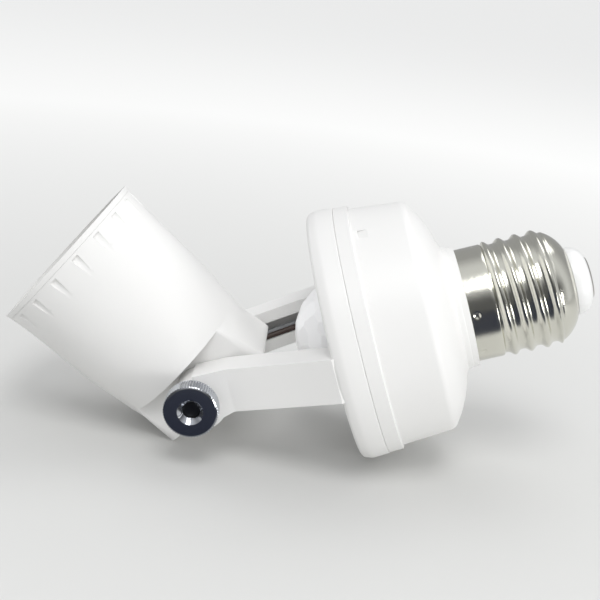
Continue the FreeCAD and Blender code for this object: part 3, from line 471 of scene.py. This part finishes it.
# Section of the screw cap without its screw: x along the body's axis and radius, in mm
SKIRT = 12.77
SKIRT_FRONT = [(29.97, 12.42), (29.97, 12.7), (30.04, SKIRT)]
SKIRT_MARKED = [(30.3 + 0.14 * step, SKIRT) for step in range(19)]
SKIRT_BACK = [(33.2, SKIRT), (34.0, SKIRT), (35.0, SKIRT), (35.7, 12.76), (35.85, 12.68), (36.0, 12.5)]
ROOT = 12.25
SCREW_RUN = [(36.2 + 0.15 * step, ROOT) for step in range(89)]
CAP_DOME = ((49.6, ROOT), (52.1, 10.2), (53.6, 7.6))
CAP_INSIDE = [(53.3, 7.4), (51.75, 9.85), (49.0, 11.85), (35.9, 11.85), (35.7, 12.42)]

# The cap's rounded screw, in mm: where a crest crosses the top, and how the screw starts and runs out
CREST = 13.15
TOP_CREST_X = 40.37
RIDGE_HALF = 1.514
SCREW_START = 35.9
SCREW_STOP = 50.6
START_RUN = 0.7
FADE_START = 48.2
FADE_TOP = 13.25
FADE_DROP = 1.2
FADE_RUN = 1.2

# Crimp marks on the skirt, in mm, and their angles from the top
MARK_X = 31.4
MARK_RADIUS = 0.85
MARK_ANGLES = (-97.0, -52.0, 83.0, 128.0)

# Points of the turned cap that its screw and its marks may move: outer ones only, in mm
OUTER_LEAST = 11.87
OUTER_FALLS_FROM = 50.0
SKIRT_SPAN = (30.2, 33.0)
SKIRT_LEAST = 12.6


def thread_radius(x, turn, pitch):
    """Radius of the cap's rounded screw at a place along and round the cap, where it stands over the cap."""
    away = abs(((x - TOP_CREST_X) / pitch - turn + 0.5) % 1.0 - 0.5) * pitch
    ridge = ROOT + (CREST - ROOT) * (0.5 + 0.5 * math.cos(math.pi * min(1.0, away / RIDGE_HALF)))
    rise = ROOT + (x - SCREW_START) / START_RUN
    fade = FADE_TOP - FADE_DROP * (max(0.0, x - FADE_START) / FADE_RUN) ** 2
    return min(ridge, rise, fade)


class LAMPHOLDER_OT_screw_cap(bpy.types.Operator):
    """Turns the cap, winds its rounded right-hand screw and sinks its crimp marks"""
    bl_idname = "lampholder.screw_cap"
    bl_label = "Screw cap"

    def execute(self, context):
        sizes = context.scene.holder_sizes
        pitch = sizes.thread_pitch / MM
        depth = sizes.punch_depth / MM
        points = SKIRT_FRONT + SKIRT_MARKED + SKIRT_BACK + SCREW_RUN + arc_points(*CAP_DOME, 20) + CAP_INSIDE
        form = spun(points, int(sizes.turns * 1.5))
        marks = [turned_about_x(angle) for angle in MARK_ANGLES]
        for vert in form.verts:
            radius = math.hypot(vert.co.y, vert.co.z)
            outer = radius > OUTER_LEAST - max(0.0, vert.co.x - OUTER_FALLS_FROM)
            if outer and SCREW_START < vert.co.x < SCREW_STOP:
                set_radius(vert, max(radius, thread_radius(vert.co.x, round_angle(vert.co), pitch)))
            if radius > SKIRT_LEAST and SKIRT_SPAN[0] < vert.co.x < SKIRT_SPAN[1]:
                out = Vector((0.0, vert.co.y, vert.co.z)).normalized()
                along = Vector((vert.co.x - MARK_X, 0.0, 0.0))
                away = min((along + (out - mark) * radius).length for mark in marks)
                set_radius(vert, radius - depth * max(0.0, 1.0 - (away / MARK_RADIUS) ** 2))
        finished(form, "screw_cap_metal", BODY, "holder", "nickel_plate", ["cap_shell"], 40.0)
        return {"FINISHED"}


# Knurled nut: back face from the middle plane, then sizes from the back face, in mm
NUT_BACK = 20.1
NUT_THICK = 4.3
NUT_FACE = 5.3
NUT_RIM = [(4.26, 5.42), (4.0, 5.72), (3.94, 5.8), (0.42, 5.8), (0.36, 5.72), (0.0, 5.4)]
SINK_RADIUS = 2.8
SINK_DEPTH = 0.78
TOOTH_COUNT = 60
TOOTH_CREST = 5.9
TOOTH_DEPTH = 0.32
BORE = 2.0
BORE_CHAMFER = 0.35
BORE_PITCH = 0.7
BORE_THREAD = 0.3

# Points of the turned nut that get the knurl, from a radius on, and the thread, up to a radius, in mm
KNURL_FROM = 5.75
THREAD_UP_TO = 2.01


def nut_form():
    """One knurled nut about X, with its back face at 0, a chamfered rim and a threaded hole."""
    hole = [(0.1 * step, BORE) for step in range(1, 36)]
    sink = [(NUT_THICK - SINK_DEPTH, BORE + 0.02), (NUT_THICK, SINK_RADIUS), (NUT_THICK, NUT_FACE)]
    form = spun([(0.0, BORE + BORE_CHAMFER)] + hole + sink + NUT_RIM, TOOTH_COUNT * 4)
    for vert in form.verts:
        radius = math.hypot(vert.co.y, vert.co.z)
        turn = round_angle(vert.co)
        if radius > KNURL_FROM:
            tooth = abs((turn * TOOTH_COUNT) % 1.0 - 0.5) * 2.0
            set_radius(vert, TOOTH_CREST - TOOTH_DEPTH * tooth)
        if radius < THREAD_UP_TO:
            wave = 0.5 + 0.5 * math.cos(2 * math.pi * (vert.co.x / BORE_PITCH - turn))
            set_radius(vert, BORE + BORE_THREAD * wave)
    return form


class LAMPHOLDER_OT_nuts(bpy.types.Operator):
    """Turns the two knurled nuts on the pivot axis"""
    bl_idname = "lampholder.nuts"
    bl_label = "Knurled nuts"

    def execute(self, context):
        for side, sign in (("near", -1.0), ("far", 1.0)):
            place = CUP @ Matrix.Rotation(deg(90.0) * sign, 4, "Z") @ Matrix.Translation((NUT_BACK, 0.0, 0.0))
            finished(nut_form(), "knurled_nut_" + side, place, "nut_" + side, "polished_nut",
                     ["thumb_nut_" + side], 25.0)
        return {"FINISHED"}


# White end of the cap: x along the body's axis and radius, in mm
CAP_END_SEAT = [(51.2, 1.35), (51.2, 9.3), (51.8, 9.3), (53.2, 7.3), (53.65, 7.3)]
CAP_END_DOME = ((53.65, 7.6), (56.1, 6.96), (57.5, 4.87))
CAP_END_HOLE = [(57.5, 1.35)]


class LAMPHOLDER_OT_cap_end(bpy.types.Operator):
    """Turns the white end of the cap, with the hole of its centre contact"""
    bl_idname = "lampholder.cap_end"
    bl_label = "Cap end"

    def execute(self, context):
        points = CAP_END_SEAT + arc_points(*CAP_END_DOME, 14) + CAP_END_HOLE
        finished(spun(points, context.scene.holder_sizes.turns), "cap_insulator_skin", BODY, "holder",
                 "white_insulator", ["cap_insulator"])
        return {"FINISHED"}


# Lens dome: facets in a row, their angle from the axis and their distance from the dome's centre, in mm
LENS_ROWS = ((1, 0.0, 12.93), (6, 18.0, 12.93), (12, 35.0, 12.93), (18, 52.0, 12.93), (24, 68.0, 12.93),
             (24, 90.0, 12.5))
LENS_CENTRE = 4.0
LENS_BALL = 14.6
LENS_BACK = 2.0
LENS_FLANGE = [(LENS_BACK, 11.8), (2.05, 14.2), (2.95, 14.2), (2.95, 11.8)]
# How fast the painted shade of a facet changes with its direction
SHADE_SPREAD = 137.0


def facet_painted_shade(normal):
    """Painted shade between 0 and 1 that differs from facet to facet."""
    return 0.5 + 0.5 * math.sin(SHADE_SPREAD * (normal.x + 2.0 * normal.y + 3.0 * normal.z))


class LAMPHOLDER_OT_sensor_lens(bpy.types.Operator):
    """Cuts the milky lens dome into rows of flat facets"""
    bl_idname = "lampholder.sensor_lens"
    bl_label = "Sensor lens"

    def execute(self, context):
        form = bmesh.new()
        bmesh.ops.create_icosphere(form, subdivisions=3, radius=LENS_BALL)
        for row, (count, polar, distance) in enumerate(LENS_ROWS):
            for index in range(count):
                angle = deg(360.0 * (index + 0.5 * (row % 2)) / count)
                facing = Vector((-math.cos(deg(polar)), math.sin(deg(polar)) * math.sin(angle),
                                 math.sin(deg(polar)) * math.cos(angle)))
                cut_open(form, facing * distance, facing)
        cut_open(form, Vector((LENS_BACK - LENS_CENTRE, 0, 0)), Vector((1, 0, 0)))
        bmesh.ops.translate(form, verts=form.verts, vec=(LENS_CENTRE, 0, 0))
        flange = spun(LENS_FLANGE, 96)
        mesh = bpy.data.meshes.new("flange")
        flange.to_mesh(mesh)
        flange.free()
        form.from_mesh(mesh)
        bpy.data.meshes.remove(mesh)
        lens = finished(form, "sensor_lens_skin", BODY, "holder", "lens_plastic", ["sensor_lens"], 2.0)
        # Painted shade of each facet, by which the lens finish darkens its colour
        painted_shades = lens.data.attributes.new("facet_painted_shade", "FLOAT", "FACE")
        for face, painted_shade in zip(lens.data.polygons, painted_shades.data):
            painted_shade.value = facet_painted_shade(face.normal)
        return {"FINISHED"}


class LAMPHOLDER_OT_finishes(bpy.types.Operator):
    """Makes the finishes and gives them to the CAD nodes"""
    bl_idname = "lampholder.finishes"
    bl_label = "Finishes"

    def execute(self, context):
        make_finishes(context.scene.holder_colours)
        for part in RECORD["subparts"]:
            node = NODES[part["node"]]
            dress(node, part["material_slot"])
            smooth_node(node)
        return {"FINISHED"}


# Soft square lights: name, place, target, size in metres and power in watts
LAMPS = (("key", (0.02, -0.36, 0.62), (0.0, 0.0, 0.02), 0.30, 1.6),
         ("top", (0.20, 0.30, 0.65), (0.0, 0.0, 0.02), 0.40, 0.9),
         ("side", (0.42, -0.26, 0.06), (0.03, 0.0, 0.03), 0.16, 0.70))


def soft_light(name, place, target, size, power):
    """Square soft light at a place, turned to a target."""
    lamp = bpy.data.lights.new(name, "AREA")
    lamp.energy = power
    lamp.size = size
    holder = bpy.data.objects.new(name, lamp)
    holder.location = place
    holder.rotation_euler = (Vector(target) - Vector(place)).to_track_quat("-Z", "Y").to_euler()
    bpy.context.scene.collection.objects.link(holder)


# Strength of the world: as light, as backdrop, and what the room and the wall take from it in a mirror
WORLD_LIGHT = 0.72
WORLD_BACKDROP = 0.88
ROOM_DARK = 0.62
WALL_DARK = 0.34
WORLD_COLOUR = (0.97, 0.98, 1.0)

# Where the room and the wall fade in, as parts of a direction: towards the front, down, and to the back
ROOM_FRONT = (-0.05, -0.35)
ROOM_LOW = (0.85, 0.40)
WALL_BEHIND = (0.10, 0.55)


def studio_world():
    """Even pale world, with a dark room in front and a dim wall behind that only gloss mirrors."""
    world = bpy.data.worlds.new("studio")
    bpy.context.scene.world = world
    world.use_nodes = True
    nodes = Nodes(world.node_tree)
    direction = nodes.node("ShaderNodeTexCoord", {}, {}, "Generated")
    front = nodes.ramp(nodes.part_of(direction, "Y"), *ROOM_FRONT)
    low = nodes.ramp(nodes.part_of(direction, "Z"), *ROOM_LOW)
    behind = nodes.ramp(nodes.part_of(direction, "Y"), *WALL_BEHIND)
    camera = nodes.ray_is("Is Camera Ray")
    lit = WORLD_LIGHT - (front * low * ROOM_DARK + behind * WALL_DARK) * nodes.ray_is("Is Glossy Ray")
    strength = lit * (1.0 - camera) + camera * WORLD_BACKDROP
    background = world.node_tree.nodes["Background"]
    background.inputs["Color"].default_value = (*WORLD_COLOUR, 1.0)
    world.node_tree.links.new(strength.socket, background.inputs["Strength"])


# Floor: half its side, the slanted near edge and colour of what a mirror sees of it, and its glow far off
FLOOR_HALF = 6.0
MIRROR_EDGE = (-0.024, -0.036)
MIRROR_SLANT = 0.25
MIRROR_COLOUR = (0.03, 0.034, 0.05)
GLOW_FROM = 0.05
GLOW_TO = 0.45
GLOW_COLOUR = (0.36, 0.36, 0.36)


def floor_finish(colour):
    """Pale floor that stays even to the far end, and is dark towards the room where metal mirrors it."""
    shade = Shade("floor", colour, {"Roughness": 0.9, "Specular IOR Level": 0.1, "Emission Strength": 1.0})
    place = shade.place()
    slanted = shade.part_of(place, "Y") + shade.part_of(place, "X") * MIRROR_SLANT
    shade.tint(shade.ramp(slanted, *MIRROR_EDGE) * shade.ray_is("Is Glossy Ray"), MIRROR_COLOUR)
    away = shade.node("ShaderNodeVectorMath", {"operation": "LENGTH"}, {0: place}, "Value")
    seen_far = shade.ramp(away, GLOW_FROM, GLOW_TO) * shade.ray_is("Is Camera Ray")
    shade.feed("Emission Color", shade.blend(seen_far, (0.0, 0.0, 0.0), GLOW_COLOUR))
    return shade.material


CAMERA_EYE = Vector((-0.00386, -0.24030, 0.11176))
CAMERA_TARGET = Vector((0.00012, 0.00232, 0.03268))
CAMERA_ROLL = 7.34
CAMERA_LENS = 67.35


def photo_camera():
    """Camera at the photo's place, with its lens and its slight roll."""
    data = bpy.data.cameras.new("camera")
    data.lens = CAMERA_LENS
    data.sensor_width = 36.0
    data.clip_start = 0.01
    data.clip_end = 50.0
    back = (CAMERA_EYE - CAMERA_TARGET).normalized()
    right = Vector((0.0, 0.0, 1.0)).cross(back).normalized()
    turn = Matrix((right, back.cross(right), back)).transposed() @ Matrix.Rotation(deg(CAMERA_ROLL), 3, "Z")
    camera = bpy.data.objects.new("camera", data)
    camera.matrix_world = Matrix.Translation(CAMERA_EYE) @ turn.to_4x4()
    bpy.context.scene.collection.objects.link(camera)
    bpy.context.scene.camera = camera


class LAMPHOLDER_OT_stage(bpy.types.Operator):
    """Sets the floor, the lights, the world and the camera"""
    bl_idname = "lampholder.stage"
    bl_label = "Stage"

    def execute(self, context):
        form = bmesh.new()
        bmesh.ops.create_grid(form, x_segments=1, y_segments=1, size=FLOOR_HALF)
        mesh = bpy.data.meshes.new("floor")
        form.to_mesh(mesh)
        form.free()
        floor = bpy.data.objects.new("floor", mesh)
        context.scene.collection.objects.link(floor)
        mesh.materials.append(floor_finish(context.scene.holder_colours.floor))
        for lamp in LAMPS:
            soft_light(*lamp)
        studio_world()
        photo_camera()
        context.scene.view_settings.view_transform = "Standard"
        return {"FINISHED"}


class LAMPHOLDER_PT_panel(bpy.types.Panel):
    """Lists the steps that dress the holder"""
    bl_idname = "LAMPHOLDER_PT_panel"
    bl_label = "Lamp holder"
    bl_space_type = "VIEW_3D"
    bl_region_type = "UI"
    bl_category = "Lamp holder"

    def draw(self, context):
        for operator in OPERATORS:
            self.layout.operator(operator.bl_idname)
        for owner in (context.scene.holder_sizes, context.scene.holder_colours):
            for key in owner.bl_rna.properties.keys():
                if key not in ("rna_type", "name"):
                    self.layout.prop(owner, key)


OPERATORS = (LAMPHOLDER_OT_finishes, LAMPHOLDER_OT_rear_shell, LAMPHOLDER_OT_screw_cap, LAMPHOLDER_OT_cap_end,
             LAMPHOLDER_OT_sensor_lens, LAMPHOLDER_OT_nuts, LAMPHOLDER_OT_stage)
CLASSES = (HolderSizes, HolderColours) + OPERATORS + (LAMPHOLDER_PT_panel,)


def register():
    """Adds the classes and the scene's property groups."""
    for item in CLASSES:
        bpy.utils.register_class(item)
    bpy.types.Scene.holder_sizes = bpy.props.PointerProperty(type=HolderSizes)
    bpy.types.Scene.holder_colours = bpy.props.PointerProperty(type=HolderColours)


def unregister():
    """Takes the classes and property groups away again."""
    del bpy.types.Scene.holder_sizes
    del bpy.types.Scene.holder_colours
    for item in reversed(CLASSES):
        bpy.utils.unregister_class(item)


def main():
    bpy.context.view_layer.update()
    register()
    bpy.ops.lampholder.finishes()
    bpy.ops.lampholder.rear_shell()
    bpy.ops.lampholder.screw_cap()
    bpy.ops.lampholder.cap_end()
    bpy.ops.lampholder.sensor_lens()
    bpy.ops.lampholder.nuts()
    bpy.ops.lampholder.stage()


if __name__ == "__main__":
    main()
